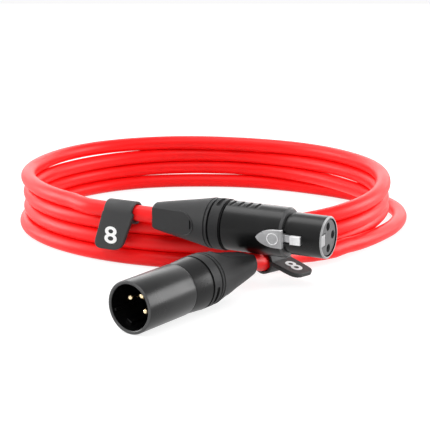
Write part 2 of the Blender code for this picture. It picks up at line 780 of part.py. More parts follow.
def make_latch(frame, materials):
    """The latch turns on its pin: its origin is the pin's middle."""
    at_pivot = frame @ Matrix.Translation(PIVOT)
    shift = Matrix.Translation(-PIVOT)
    plate = prism(plate_outline(), LATCH_UNDER, LATCH_TOP)
    bmesh.ops.transform(plate, matrix=shift, verts=plate.verts)
    latch = mesh_object("female_latch", plate, materials["silver"], at_pivot)
    neck_end = LATCH_FRONT + NECK_LENGTH
    hook_end = neck_end + HOOK_LENGTH
    neck_low = LATCH_UNDER - NECK_DROP
    pieces = (
        block(
            (neck_low, -NECK_WIDTH / 2, LATCH_FRONT - 2 * OVERLAP),
            (neck_low + NECK_THICKNESS, NECK_WIDTH / 2, neck_end + OVERLAP),
        ),
        block(
            (TONGUE_RADIUS - TONGUE_THICKNESS / 2, -HOOK_WIDTH / 2, neck_end),
            (NOSE_RADIUS + HOOK_PROUD, HOOK_WIDTH / 2, hook_end),
        ),
        block(
            (TONGUE_RADIUS - TONGUE_THICKNESS, -TONGUE_WIDTH / 2, hook_end - OVERLAP),
            (TONGUE_RADIUS, TONGUE_WIDTH / 2, FEMALE_LENGTH - TONGUE_END_DEPTH),
        ),
    )
    for piece in pieces:
        combine(latch, piece, "UNION", frame)
    lug = block(
        (PIVOT.x - LUG_HALF, -NECK_WIDTH / 2, PIVOT.z - LUG_HALF),
        (LATCH_UNDER + LUG_SINK, NECK_WIDTH / 2, PIVOT.z + LUG_HALF),
    )
    combine(latch, lug, "UNION", frame)
    reach = Vector((0.0, LATCH_WIDTH, 0.0))
    bore = rod(PIN_RADIUS + PIVOT_GAP, PIVOT - reach, PIVOT + reach, PIN_ROUND)
    combine(latch, bore, "DIFFERENCE", frame)
    half = Vector((0.0, pin_half_length(), 0.0))
    pin = rod(PIN_RADIUS, PIVOT - half, PIVOT + half, PIN_ROUND)
    mesh_object("female_latch_pin", pin, materials["spring_steel"], frame)


def make_latch_spring(frame, materials):
    """A folded leaf on the insert, under the plate beside the pin."""
    base = POCKET_FLOOR + SEAM
    start = PIVOT.z + LEAF_START
    end = start + LEAF_LENGTH
    top = LATCH_UNDER - SEAM - LEAF_PLAY
    thick = LEAF_THICKNESS
    fold = LEAF_BEND - 1
    outline = [
        (start, base),
        (end, base),
        (end, base + LEAF_BEND * thick),
        (start + LEAF_FLAT, top),
        (start, top),
        (start, top - thick),
        (start + LEAF_FLAT, top - thick),
        (end - fold * thick, base + fold * thick),
        (end - thick, base + thick),
        (start, base + thick),
    ]
    mesh_object("female_latch_spring", strip(outline), materials["spring_steel"], frame)


# Plug connector.


def shell_outline():
    step = MALE_LENGTH - SHELL_FRONT_LENGTH
    back_bore_end = MALE_INSERT_BACK - SHELL_BORE_REACH
    edge = RIM_BEVEL
    return [
        (TAIL_RADIUS, TAIL_START),
        (TAIL_RADIUS, HOUSING_START),
        (SHELL_BACK_RADIUS, HOUSING_START),
        (SHELL_BACK_RADIUS, HOUSING_START + SHELL_STEP_LENGTH),
        (SHELL_WAIST_RADIUS, step),
        (SHELL_RADIUS, step + SHELL_STEP_LENGTH),
        (SHELL_RADIUS, MALE_LENGTH - edge),
        (SHELL_RADIUS - edge, MALE_LENGTH),
        (SHELL_BORE_RADIUS + edge, MALE_LENGTH),
        (SHELL_BORE_RADIUS, MALE_LENGTH - edge),
        (SHELL_BORE_RADIUS, back_bore_end),
        (TAIL_BORE, back_bore_end),
        (TAIL_BORE, TAIL_START),
    ]


def make_shell(frame, materials):
    shell = mesh_object("male_shell", turned(shell_outline(), SHELL_ROUND), materials["black_metal"], frame)
    key = block(
        (SHELL_BORE_RADIUS - KEY_HEIGHT, -KEY_WIDTH / 2, MALE_INSERT_FRONT + SEAM),
        (SHELL_BORE_RADIUS + KEY_SINK, KEY_WIDTH / 2, MALE_LENGTH - KEY_START_DEPTH),
    )
    combine(shell, key, "UNION", frame)
    return shell


def make_male_insert(frame, materials):
    radius = SHELL_BORE_RADIUS - SEAM
    outline = [
        (0.0, MALE_INSERT_BACK),
        (radius, MALE_INSERT_BACK),
        (radius, MALE_INSERT_FRONT),
        (0.0, MALE_INSERT_FRONT),
    ]
    insert = mesh_object("male_insert", turned(outline), materials["insert_plastic"], frame)
    for number in range(len(CONTACT_ANGLES)):
        place = contact_place(number) * CONTACT_CIRCLE
        hole = rod(
            CONTACT_RADIUS + SEAM,
            place + Vector((0.0, 0.0, MALE_INSERT_BACK - CUT_REACH)),
            place + Vector((0.0, 0.0, MALE_INSERT_FRONT + CUT_REACH)),
        )
        combine(insert, hole, "DIFFERENCE", frame)
    flat = block(
        (-2 * radius, -LEAF_WIDTH / 2 - SEAM, MALE_INSERT_BACK - CUT_REACH),
        (-radius + GROUND_FLAT_DEPTH, LEAF_WIDTH / 2 + SEAM, MALE_INSERT_FRONT - GROUND_FLAT_END),
    )
    combine(insert, flat, "DIFFERENCE", frame)
    return insert


def make_ground_spring(frame, materials):
    """A bowed strip between the insert and the shell."""
    low = -(SHELL_BORE_RADIUS - SEAM)
    inner = low + GROUND_FLAT_DEPTH - SEAM
    start = MALE_INSERT_BACK + GROUND_INSET
    end = MALE_INSERT_FRONT - GROUND_FLAT_END - GROUND_INSET
    middle = (start + end) / 2
    thick = LEAF_THICKNESS
    outline = [
        (start, inner),
        (start, inner - thick),
        (middle, low + GROUND_PLAY),
        (end, inner - thick),
        (end, inner),
        (middle, low + thick),
    ]
    mesh_object("male_ground_spring", strip(outline), materials["spring_steel"], frame)


def make_male_pins(frame, materials):
    tip = MALE_LENGTH - PIN_RECESS
    back = MALE_CUP_START
    outline = [
        (0.0, back + CONTACT_CUP_DEPTH),
        (CONTACT_BORE_RADIUS, back + CONTACT_CUP_DEPTH),
        (CONTACT_BORE_RADIUS, back),
        (CONTACT_RADIUS, back),
    ]
    for i in range(PIN_TIP_STEPS):
        turn = i / PIN_TIP_STEPS * math.pi / 2
        outline.append(
            (CONTACT_RADIUS * math.cos(turn), tip - CONTACT_RADIUS * (1 - math.sin(turn)))
        )
    outline.append((0.0, tip))
    for number in range(len(CONTACT_ANGLES)):
        shift = Matrix.Translation(contact_place(number) * CONTACT_CIRCLE)
        mesh_object(
            f"male_pin_{number + 1}",
            turned(outline, SMALL_ROUND),
            materials["gold"],
            frame @ shift,
        )


# Tags.


def make_tag(name, place, along, hang, lean, slant, level, materials):
    """A rubber collar on the cable with a flap below the level. Its origin is on the cable's axis."""
    along = along.normalized()
    outward = along.cross(hang).normalized()
    down = outward.cross(along).normalized()
    turn = Matrix.Rotation(math.radians(lean), 3, along)
    frame = (turn @ Matrix((outward, -down, along)).transposed()).to_4x4()
    frame.translation = place
    half = TAG_LENGTH / 2
    collar = rod(TAG_RADIUS, (0.0, 0.0, -half), (0.0, 0.0, half), TAG_ROUND)
    tag = mesh_object(name, collar, materials["tag_rubber"], frame)
    flap_outline = [
        (-half, 0.0),
        (half, 0.0),
        (half + slant, -TAG_FLAP_REACH),
        (-half + slant, -TAG_FLAP_REACH),
    ]
    flap = flap_plate(flap_outline, level - TAG_FLAP_THICKNESS, level)
    combine(tag, flap, "UNION", frame)
    reach = Vector((0.0, 0.0, TAG_LENGTH))
    combine(tag, rod(TAG_BORE, -reach, reach, TAG_ROUND), "DIFFERENCE", frame)
    return tag


def flap_plate(outline, low, high):
    """The flap, with round corners at its free end."""
    rounded = outline[:2]
    for corner, before, after in ((2, 1, 3), (3, 2, 0)):
        point = Vector(outline[corner])
        arrive = (Vector(outline[before]) - point).normalized() * TAG_CORNER
        depart = (Vector(outline[after]) - point).normalized() * TAG_CORNER
        for i in range(TAG_CORNER_STEPS + 1):
            share = i / TAG_CORNER_STEPS
            rounded.append(tuple(point + arrive * (1 - share) ** 2 + depart * share**2))
    return prism(rounded, low, high)


def main():
    for old in list(bpy.data.objects):
        bpy.data.objects.remove(old, do_unlink=True)
    materials = make_materials()

    female = laid_down(FEMALE_MOUTH, FEMALE_HEIGHT, FEMALE_AZIMUTH, LATCH_DROOP)
    female_boot_frame = laid_down(FEMALE_MOUTH, FEMALE_HEIGHT, FEMALE_AZIMUTH, 0.0)
    make_boot("female", female_boot_frame, materials)
    make_ring("female", female_boot_frame, FEMALE_SLOT_ANGLE, materials)
    make_chuck("female", female, FEMALE_JACKET_DEPTH, materials)
    make_cable_end("female", female, FEMALE_JACKET_DEPTH, materials)
    make_housing(female, materials)
    make_female_insert(female, materials)
    make_female_contacts(female, materials)
    make_wires("female", female, FEMALE_JACKET_DEPTH, FEMALE_CUP_START, materials)
    make_latch(female, materials)
    make_latch_spring(female, materials)

    male = laid_down(MALE_MOUTH, MALE_HEIGHT, MALE_AZIMUTH, KEY_DROOP, MALE_TILT)
    male_boot_frame = laid_down(MALE_MOUTH, MALE_HEIGHT, MALE_AZIMUTH, 90.0, MALE_TILT)
    make_boot("male", male_boot_frame, materials)
    make_ring("male", male_boot_frame, MALE_SLOT_ANGLE, materials)
    make_chuck("male", male, MALE_JACKET_DEPTH, materials)
    make_cable_end("male", male, MALE_JACKET_DEPTH, materials)
    make_shell(male, materials)
    make_male_insert(male, materials)
    make_ground_spring(male, materials)
    make_male_pins(male, materials)
    make_wires("male", male, MALE_JACKET_DEPTH, MALE_CUP_START, materials)

    make_coil(materials)
    tube("lead_female", female_lead_route(female), CABLE_RADIUS, 10, materials["red_jacket"])
    tube("lead_male", male_lead_route(male), CABLE_RADIUS, 10, materials["red_jacket"])

    down = Vector((0.0, 0.0, -1.0))
    along = leave(female, 1.0) - leave(female, 0.0)
    middle = leave(female, TAG_FEMALE_OFFSET)
    make_tag("tag_female", middle, along, down, TAG_FEMALE_LEAN, TAG_FEMALE_SLANT, TAG_RADIUS, materials)
    near, far = [Vector(point) for point in MALE_LEAD_TO_TAG]
    aside = (far - near).cross(Vector((0.0, 0.0, 1.0)))
    middle = (near + far) / 2
    make_tag("tag_male", middle, far - near, aside, TAG_MALE_LEAN, TAG_MALE_SLANT, TAG_MALE_LEVEL, materials)


main()
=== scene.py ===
"""The looks of the microphone lead: camera, red cable, connectors, tags, light and floor.

Metres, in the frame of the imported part. Each connector is drawn along its own +Z, from the boot's
mouth to the rim, with +X towards the latch or the key, and is put where it rests by its frame.
"""

import math

import bmesh
import bpy
from mathutils import Matrix, Vector


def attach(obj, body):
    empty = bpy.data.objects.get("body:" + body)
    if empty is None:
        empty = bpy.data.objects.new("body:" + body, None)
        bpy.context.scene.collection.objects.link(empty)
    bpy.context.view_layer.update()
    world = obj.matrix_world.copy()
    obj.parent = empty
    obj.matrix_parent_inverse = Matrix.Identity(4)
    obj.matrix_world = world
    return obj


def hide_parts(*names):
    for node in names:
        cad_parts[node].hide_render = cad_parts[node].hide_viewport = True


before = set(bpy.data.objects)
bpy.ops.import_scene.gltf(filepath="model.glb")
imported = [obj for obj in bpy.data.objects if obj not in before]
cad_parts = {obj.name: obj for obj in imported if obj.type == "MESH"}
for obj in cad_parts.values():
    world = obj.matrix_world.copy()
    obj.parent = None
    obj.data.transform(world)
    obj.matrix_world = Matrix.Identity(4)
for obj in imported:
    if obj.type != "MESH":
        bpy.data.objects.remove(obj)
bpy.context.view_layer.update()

# Camera.
PHOTO_WIDTH = 430
FOCAL_PIXELS = 1409.66
CAMERA_PLACE = (0.0005, -0.56087, 0.14983)
CAMERA_DOWN = 13.6765

# Cable and coil. The turns bulge a little otherwise than in the solids.
CABLE = 0.00627
COIL_CENTRE = Vector((-0.0040, 0.0410))
COIL_TURNS = 4
COIL_STEPS = 24  # in each turn
COIL_FIRST = 3
COIL_LAST = 93
COIL_RADIUS = 0.0753
COIL_OVAL = 0.0018  # how far the coil is longer than its radius, at OVAL_ANGLE
OVAL_ANGLE = -37.0
COIL_FLOOR = CABLE / 2
# For each turn, its bulges: distance outwards, plan angle and spread in degrees.
TURN_SWELLS = (
    (
        (0.0010, 178.0, 16.0),
        (0.0014, 138.0, 22.0),
        (-0.0026, 75.0, 28.0),
        (0.0007, 5.0, 20.0),
        (0.0022, -36.0, 26.0),
        (-0.0016, -112.0, 24.0),
    ),
    ((-0.0014, 136.0, 22.0), (-0.0010, 50.0, 25.0), (0.0018, -36.0, 26.0), (-0.0010, -112.0, 24.0)),
    (
        (-0.0020, 28.0, 24.0),
        (0.0018, 0.0, 15.0),
        (-0.0033, -52.0, 28.0),
        (-0.0004, -112.0, 24.0),
        (0.0019, -168.0, 28.0),
    ),
    (
        (0.0019, 192.0, 28.0),
        (-0.0019, 94.0, 20.0),
        (0.0111, 11.0, 31.0),
        (0.0029, -48.0, 20.0),
    ),
)
# A turn steps down one layer in this share of it, counted from the left end over the back.
DROP_START = 0.47
DROP_SHARE = 0.30
RISE_STEPS = 2  # the last steps reach the height of the lead
COIL_END_HEIGHT = 0.0046
CABLE_FINENESS = 6  # points of the cable for each step of the coil

# Connectors.
SOCKET_MOUTH = Vector((-0.0219, -0.0352, 0.02175))
SOCKET_AZIMUTH = -28.0
LATCH_DROOP = 3.5
PLUG_MOUTH = Vector((0.0120, -0.0615, 0.01026))
PLUG_AZIMUTH = 232.5
PLUG_TILT = 0.84
KEY_DROOP = 60.5
PLUG_LEAD_STRAIGHT = 0.0020
UNDER_SOCKET = Vector((0.01651, -0.05562, 0.00881))
PLUG_TAG = (Vector((0.0181, -0.0535, 0.0081)), Vector((0.0261, -0.0431, 0.0071)))
PLUG_LEAD = (
    UNDER_SOCKET,
    *PLUG_TAG,
    Vector((0.0301, -0.0376, 0.0062)),
    Vector((0.0352, -0.0326, 0.0055)),
    Vector((0.0404, -0.0286, 0.0050)),
)
SEAM = 0.0003  # between pieces that touch
JACKET_BORE = CABLE / 2 + SEAM

# Tags.
TAG_PLACE = 0.0150
TAG_LENGTH = 0.0127
TAG_FLAP = 0.0017
TAG_WALL = 0.0010
TAG_REACH = 0.0150
TAG_CORNER = 0.0040
TAG_VOXEL = 0.00022
SOCKET_TAG_SLANT = 0.0045
SOCKET_TAG_LEAN = 5.0
PLUG_TAG_SLANT = 0.0010
PLUG_TAG_LEVEL = -0.0006
PLUG_TAG_LEAN = 18.0
NUMBER_SIZE = 0.0092
NUMBER_RELIEF = 0.00006
NUMBER_BOLD = 0.00014
NUMBER_WIDTH = 1.3
NUMBER_DROP = 0.0095
NUMBER_SHIFT = 0.6  # of the flap's slant

# Boots and rings.

BOOT_LENGTH = 0.0266
BOOT_RADIUS = 0.0098
BOOT_MOUTH = 0.0053
BOOT_MOUTH_FLAT = 0.0036
BOOT_FLAT_RISE = 0.195
BOOT_FLAT_ROUND = 0.0125  # where the flat begins to narrow to its round end
BOOT_FLAT_END = 0.0205
BOOT_FLAT_HALF = 0.0048
BOOT_LIP = 0.0005
BOOT_NOSE_DEPTH = 0.0120
FLAT_LIP_RADIUS = 0.00020
TAIL_BORE = 0.0059
RING_START = BOOT_LENGTH + SEAM
RING_END = RING_START + 0.0048
RING_GROOVE = 0.0004
RING_GROOVE_DEPTH = 0.0008
RING_SLOT_DEPTH = 0.0012
RING_SLOT_HALF = (0.0034, 0.0008)
SOCKET_RING_ANGLE = -78.0
PLUG_RING_ANGLE = 68.0
BODY_START = RING_END + SEAM
TAIL_RADIUS = 0.0071
TAIL_START = BODY_START - 0.0135

# Socket.
BODY_RADIUS = 0.0093
SHOULDER = BODY_START + 0.0245
SHOULDER_GROOVE = 0.0073
RIB_START = 0.0011
RIB_PITCH = 0.0034
NOTCH = ((0.0087, -0.008, 0.0003), (0.0130, 0.008, 0.0020))  # low and high corner
SHELL_PLAY = 0.00025  # round the latch
NOSE_RADIUS = 0.0078
NOSE_BORE = 0.0070
RIBS = 4
SOCKET_LENGTH = 0.0720
PLATE_FRONT = SHOULDER + 0.0009
PLATE_LENGTH = 0.0104
PLATE_HALF = 0.00335
PLATE_TOP = BODY_RADIUS + 0.0004
PLATE_THICK = 0.0017
HOOK_START = PLATE_FRONT + 0.0028
HOOK_END = HOOK_START + 0.0041
HOOK_HALF = 0.0016
TONGUE_HALF = 0.0021
NECK_HALF = 0.0014
LUG = (0.0478, 0.0500)
LATCH_PIN_BACK = 0.0024  # from the plate's point
LATCH_PIN_RADIUS = 0.00060
LATCH_PIN_BORE = 0.00065
LATCH_PIN_HALF = 0.0030
MARK_BACK = 0.0036  # from the plate's front
FACE_DEPTH = 0.0219

# Plug.
SHELL_RADIUS = 0.0093
SHELL_STEP = 0.0249  # behind the plug's rim
PLUG_LENGTH = 0.0658
PLUG_BORE = 0.00805
PLUG_FACE = PLUG_LENGTH - 0.0158
PLUG_INSERT_LENGTH = 0.0146
PIN_CIRCLE = 0.0038
HOLE_CIRCLE = 0.0041
HOLE_RADIUS = 0.00155
PIN_RADIUS = 0.00119
PIN_ANGLES = (90.0, 270.0, 180.0)
RIDGE_ANGLE = 317.0

ROUND = 96
THROUGH = 0.02  # far enough to cut through anything
CUT_PAST = 0.001

# Light.
WORLD_LIGHT = 0.24
FLOOR_SHADE = 0.86
SEEN_FLOOR_SHADE = 0.36
SEEN_FLOOR_GLOW = 0.80
MIDDLE = (0.0, 0.0, 0.02)
LAMPS = (
    ("right", (0.80, 0.16, 0.22), (0.0, -0.05, 0.02), (0.50, 0.50), 6.5),
    ("left", (-0.80, 0.16, 0.22), (0.0, -0.05, 0.02), (0.50, 0.50), 6.5),
    ("overhead", (-0.30, 0.20, 0.77), MIDDLE, (0.50, 0.50), 3.6),
    ("back", (0.0, 1.00, 0.35), MIDDLE, (1.80, 0.50), 6.0),
    ("front", (0.0, -0.50, 0.75), MIDDLE, (0.90, 0.50), 3.6),
)


def direction(azimuth):
    angle = math.radians(azimuth)
    return Vector((math.cos(angle), math.sin(angle), 0.0))


def laid_down(mouth, azimuth, droop, tilt=0.0):
    """A connector's frame: +Z from mouth to rim, +X aside and turned down by droop degrees."""
    down = math.radians(tilt)
    along = direction(azimuth) * math.cos(down) - Vector((0.0, 0.0, math.sin(down)))
    aside = Vector((along.y, -along.x, 0.0)).normalized()
    turn = math.radians(droop)
    towards = aside * math.cos(turn) + along.cross(aside) * math.sin(turn)
    placed = Matrix((towards, along.cross(towards), along)).transposed().to_4x4()
    placed.translation = mouth
    return placed


SOCKET = laid_down(SOCKET_MOUTH, SOCKET_AZIMUTH, LATCH_DROOP)
SOCKET_BOOT = laid_down(SOCKET_MOUTH, SOCKET_AZIMUTH, 0.0)
PLUG = laid_down(PLUG_MOUTH, PLUG_AZIMUTH, KEY_DROOP, PLUG_TILT)
PLUG_BOOT = laid_down(PLUG_MOUTH, PLUG_AZIMUTH, 90.0, PLUG_TILT)


# Camera.


def set_camera():
    camera = bpy.data.cameras.new("camera")
    camera.lens = FOCAL_PIXELS / PHOTO_WIDTH * camera.sensor_width
    camera.clip_start = 0.01
    holder = bpy.data.objects.new("camera", camera)
    holder.location = CAMERA_PLACE
    holder.rotation_euler = (math.radians(90.0 - CAMERA_DOWN), 0.0, 0.0)
    bpy.context.collection.objects.link(holder)
    bpy.context.scene.camera = holder
    bpy.context.scene.view_settings.view_transform = "Standard"


# Materials. Each finish reads Object coordinates, so its grain has the same size everywhere.


def grained(name, dark, light, roughness, grain, relief, metallic=0.0, specular=0.5):
    """A finish whose colour and gloss drift between two values, with a fine grain in relief."""
    finish = bpy.data.materials.new(name)
    finish.use_nodes = True
    nodes = finish.node_tree.nodes
    links = finish.node_tree.links
    shader = nodes["Principled BSDF"]
    shader.inputs["Metallic"].default_value = metallic
    shader.inputs["Specular IOR Level"].default_value = specular
    place = nodes.new("ShaderNodeTexCoord")
    drift = nodes.new("ShaderNodeTexNoise")
    drift.inputs["Scale"].default_value = grain[0]
    drift.inputs["Detail"].default_value = 4.0
    links.new(place.outputs["Object"], drift.inputs["Vector"])
    shade = nodes.new("ShaderNodeValToRGB")
    shade.color_ramp.elements[0].position = 0.35
    shade.color_ramp.elements[0].color = (*dark, 1.0)
    shade.color_ramp.elements[1].position = 0.65
    shade.color_ramp.elements[1].color = (*light, 1.0)
    links.new(drift.outputs["Fac"], shade.inputs["Fac"])
    links.new(shade.outputs["Color"], shader.inputs["Base Color"])
    gloss = nodes.new("ShaderNodeMapRange")
    gloss.inputs["From Min"].default_value = 0.3
    gloss.inputs["From Max"].default_value = 0.7
    gloss.inputs["To Min"].default_value = roughness[0]
    gloss.inputs["To Max"].default_value = roughness[1]
    links.new(drift.outputs["Fac"], gloss.inputs["Value"])
    links.new(gloss.outputs["Result"], shader.inputs["Roughness"])
    speckle = nodes.new("ShaderNodeTexNoise")
    speckle.inputs["Scale"].default_value = grain[1]
    speckle.inputs["Detail"].default_value = 2.0
    links.new(place.outputs["Object"], speckle.inputs["Vector"])
    bump = nodes.new("ShaderNodeBump")
    bump.inputs["Strength"].default_value = relief[0]
    bump.inputs["Distance"].default_value = relief[1]
    links.new(speckle.outputs["Fac"], bump.inputs["Height"])
    links.new(bump.outputs["Normal"], shader.inputs["Normal"])
    return finish


METAL_GRAIN = (240.0, 4200.0)
PLASTIC_GRAIN = (200.0, 3200.0)
# Dark and light colour, roughness, scales of the drift and of the grain, strength and depth of its
# relief, then metallic and specular where they aren't 0 and 0.5.
FINISHES = {
    "red_jacket": (
        (0.93, 0.0040, 0.0050), (0.97, 0.0060, 0.0070), (0.40, 0.46), (60.0, 1600.0),
        (0.02, 0.00001), 0.0, 0.27,
    ),
    "black_metal": (
        (0.0022, 0.0022, 0.0024), (0.0036, 0.0036, 0.0038), (0.27, 0.33),
        (90.0, 3800.0), (0.10, 0.00002), 0.0, 0.24,
    ),
    "boot_rubber": (
        (0.009, 0.009, 0.0095), (0.014, 0.014, 0.0145), (0.50, 0.60),
        (120.0, 3000.0), (0.50, 0.00005), 0.0, 0.25,
    ),
    "tag_rubber": (
        (0.009, 0.009, 0.0095), (0.014, 0.014, 0.0145), (0.55, 0.68),
        (140.0, 2600.0), (0.45, 0.00005),
    ),
    "insert_plastic": (
        (0.060, 0.060, 0.062), (0.075, 0.075, 0.078), (0.45, 0.58),
        PLASTIC_GRAIN, (0.30, 0.00003),
    ),
    "plug_plastic": (
        (0.004, 0.004, 0.004), (0.007, 0.007, 0.007), (0.36, 0.46),
        PLASTIC_GRAIN, (0.30, 0.00003),
    ),
    "silver": (
        (0.50, 0.50, 0.51), (0.62, 0.62, 0.63), (0.28, 0.36), METAL_GRAIN,
        (0.15, 0.00002), 0.30,
    ),
    # Lighter grey metal. On the socket's nose rim this is a painted highlight on the chamfer,
    # partly standing for bare metal at the edge. On the latch's tongue it is plain grey metal.
    "grey_metal_and_rim_highlight": (
        (0.30, 0.30, 0.305), (0.38, 0.38, 0.385), (0.34, 0.44), METAL_GRAIN,
        (0.25, 0.00002), 0.3,
    ),
    # Near-white. On the latch plate's side faces, bevels and thumb ring this is a painted
    # highlight. The hook section gets it as well.
    "polish_and_edge_highlight": (
        (0.92, 0.92, 0.93), (0.96, 0.96, 0.97), (0.22, 0.30), METAL_GRAIN,
        (0.10, 0.00002), 0.10,
    ),
    # Grey, far paler than black_metal. This is painted light on the socket shoulder's chamfer and
    # front face, and a painted highlight on the plug's rim.
    "grey_edge_highlight": (
        (0.030, 0.030, 0.031), (0.045, 0.045, 0.046), (0.34, 0.44), METAL_GRAIN,
        (0.25, 0.00002),
    ),
    "gold": (
        (0.90, 0.72, 0.44), (0.96, 0.80, 0.54), (0.12, 0.20), (300.0, 4200.0),
        (0.20, 0.00002), 1.0,
    ),
    "spring_steel": (
        (0.46, 0.46, 0.47), (0.58, 0.58, 0.59), (0.28, 0.40),
        METAL_GRAIN, (0.25, 0.00002), 1.0,
    ),
    "chuck_plastic": (
        (0.034, 0.034, 0.034), (0.046, 0.046, 0.046), (0.50, 0.60),
        PLASTIC_GRAIN, (0.30, 0.00003),
    ),
    "red_core": (
        (0.48, 0.012, 0.012), (0.60, 0.02, 0.02), (0.40, 0.50), PLASTIC_GRAIN,
        (0.20, 0.00002),
    ),
    "white_core": (
        (0.72, 0.72, 0.70), (0.82, 0.82, 0.80), (0.40, 0.50), PLASTIC_GRAIN,
        (0.20, 0.00002),
    ),
    "bare_core": (
        (0.66, 0.32, 0.17), (0.80, 0.46, 0.27), (0.30, 0.42), (300.0, 4200.0),
        (0.40, 0.00004), 1.0,
    ),
    "white_print": (
        (0.84, 0.84, 0.84), (0.90, 0.90, 0.90), (0.50, 0.60), (300.0, 4200.0),
        (0.20, 0.00002),
    ),
}


# Mesh helpers.


def lathe(outline, segments=ROUND):
    """A closed outline of (radius, height) points, turned about Z."""
    work = bmesh.new()
    points = [work.verts.new((radius, 0.0, height)) for radius, height in outline]
    edges = [work.edges.new(pair) for pair in zip(points, points[1:] + points[:1])]
    bmesh.ops.spin(
        work,
        geom=points + edges,
        cent=(0.0, 0.0, 0.0),
        axis=(0.0, 0.0, 1.0),
        angle=2 * math.pi,
        steps=segments,
        use_merge=True,
    )
    bmesh.ops.remove_doubles(work, verts=work.verts, dist=1e-7)
    bmesh.ops.dissolve_degenerate(work, edges=work.edges, dist=1e-7)
    bmesh.ops.recalc_face_normals(work, faces=work.faces)
    return work


def plate(outline, low, high):
    """An outline of (along, across) points, thickened from low to high along X.

    low may be a number or a function of the distance along the axis; high is a number.
    """
    work = bmesh.new()
    below = [low(along) if callable(low) else low for along, _ in outline]
    points = [work.verts.new((x, across, along)) for x, (along, across) in zip(below, outline)]
    face = work.faces.new(points)
    extruded = bmesh.ops.extrude_face_region(work, geom=[face])
    for item in extruded["geom"]:
        if isinstance(item, bmesh.types.BMVert):
            item.co.x = high
    bmesh.ops.recalc_face_normals(work, faces=work.faces)
    return work


def block(low, high, bevel=0.0):
    work = bmesh.new()
    middle = [(a + b) / 2 for a, b in zip(low, high)]
    sizes = [b - a for a, b in zip(low, high)]
    place = Matrix.Translation(middle) @ Matrix.Diagonal((*sizes, 1.0))
    bmesh.ops.create_cube(work, size=1.0, matrix=place)
    if bevel:
        bmesh.ops.bevel(
            work,
            geom=work.edges,
            offset=bevel,
            segments=3,
            profile=0.5,
            affect="EDGES",
            material=-1,
        )
    return work


def rod(radius, start, end, segments=48):
    work = bmesh.new()
    span = Vector(end) - Vector(start)
    turn = span.to_track_quat("Z", "Y").to_matrix().to_4x4()
    place = Matrix.Translation((Vector(start) + Vector(end)) / 2) @ turn
    bmesh.ops.create_cone(
        work,
        cap_ends=True,
        segments=segments,
        radius1=radius,
        radius2=radius,
        depth=span.length,
        matrix=place,
    )
    return work


def placed_object(name, work, place):
    work.transform(place)
    mesh = bpy.data.meshes.new(name)
    work.to_mesh(mesh)
    work.free()
    mesh.shade_smooth()
    made = bpy.data.objects.new(name, mesh)
    bpy.context.collection.objects.link(made)
    return made


def shaped_mesh(made):
    """A mesh of the object with its modifiers applied."""
    graph = bpy.context.evaluated_depsgraph_get()
    return bpy.data.meshes.new_from_object(made.evaluated_get(graph))


def bored(radius, at, back, front):
    """A rod along the axis that cuts a hole past both ends."""
    start = at + Vector((0.0, 0.0, back - CUT_PAST))
    return rod(radius, start, at + Vector((0.0, 0.0, front + CUT_PAST)))


def piece(
    name,
    work,
    place,
    finish,
    body,
    node,
    cuts=(),
    joins=(),
    edge=0.0002,
    remesh=0.0,
    inlays=(),
):
    """A finished piece in its place: joined, cut, rounded, inlaid and riding on its body."""
    made = placed_object(name, work, place)
    tools = []
    for operation, others in (("UNION", joins), ("DIFFERENCE", cuts)):
        for other in others:
            tool = placed_object(name + "_tool", other, place)
            tools.append(tool)
            change = made.modifiers.new("shape", "BOOLEAN")
            change.operation = operation
            change.solver = "EXACT"
            change.object = tool
    if remesh:
        skin = made.modifiers.new("skin", "REMESH")
        skin.mode = "VOXEL"
        skin.voxel_size = remesh
        ease = made.modifiers.new("ease", "SMOOTH")
        ease.factor = 0.5
        ease.iterations = 6
    if edge:
        rounding = made.modifiers.new("edge", "BEVEL")
        rounding.limit_method = "ANGLE"
        rounding.angle_limit = math.radians(28.0)
        rounding.width = edge
        rounding.segments = 3
        rounding.use_clamp_overlap = True
        rounding.harden_normals = True
    ready = shaped_mesh(made)
    made.modifiers.clear()
    made.data = ready
    ready.name = name
    for tool in tools:
        bpy.data.objects.remove(tool)
    if inlays:
        whole = bmesh.new()
        whole.from_mesh(ready)
        for inlay in inlays:
            extra = placed_object(name + "_inlay", inlay, place)
            whole.from_mesh(extra.data)
            bpy.data.objects.remove(extra)
        whole.to_mesh(ready)
        whole.free()
    ready.materials.clear()
    ready.materials.append(finish)
    if not edge:
        ready.shade_smooth()
        ready.set_sharp_from_angle(angle=math.radians(40.0))
    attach(made, body)
    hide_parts(node)
    return made


# Cable.


def swell(angle, turn):
    """How far this turn lies outside the oval at a plan angle."""
    total = 0.0
    for distance, middle, spread in TURN_SWELLS[turn]:
        total += distance * math.exp(-(((angle - middle) / spread) ** 2))
    return total


def coil_point(step):
    """The coil's centreline, clockwise from above. Step 0 is the front of the first turn."""
    past_left = step / COIL_STEPS - 0.25
    turn = min(max(math.floor(past_left), 0), COIL_TURNS - 1)
    share = past_left - math.floor(past_left)
    angle = 180.0 - 360.0 * share
    radius = COIL_RADIUS + COIL_OVAL * math.cos(2 * math.radians(angle - OVAL_ANGLE))
    layer = COIL_TURNS - 1 - turn
    if past_left < 0.0:
        radius += swell(angle + 360.0, turn)
    else:
        radius += swell(angle, turn)
        if layer:
            dropped = min(max((share - DROP_START) / DROP_SHARE, 0.0), 1.0)
            layer -= dropped * dropped * (3 - 2 * dropped)
    rise = max(1.0 - (COIL_LAST - step) / RISE_STEPS, 0.0)
    heading = math.radians(angle)
    return Vector(
        (
            COIL_CENTRE.x + radius * math.cos(heading),
            COIL_CENTRE.y + radius * math.sin(heading),
            COIL_FLOOR + layer * CABLE + rise * (COIL_END_HEIGHT - COIL_FLOOR),
        )
    )


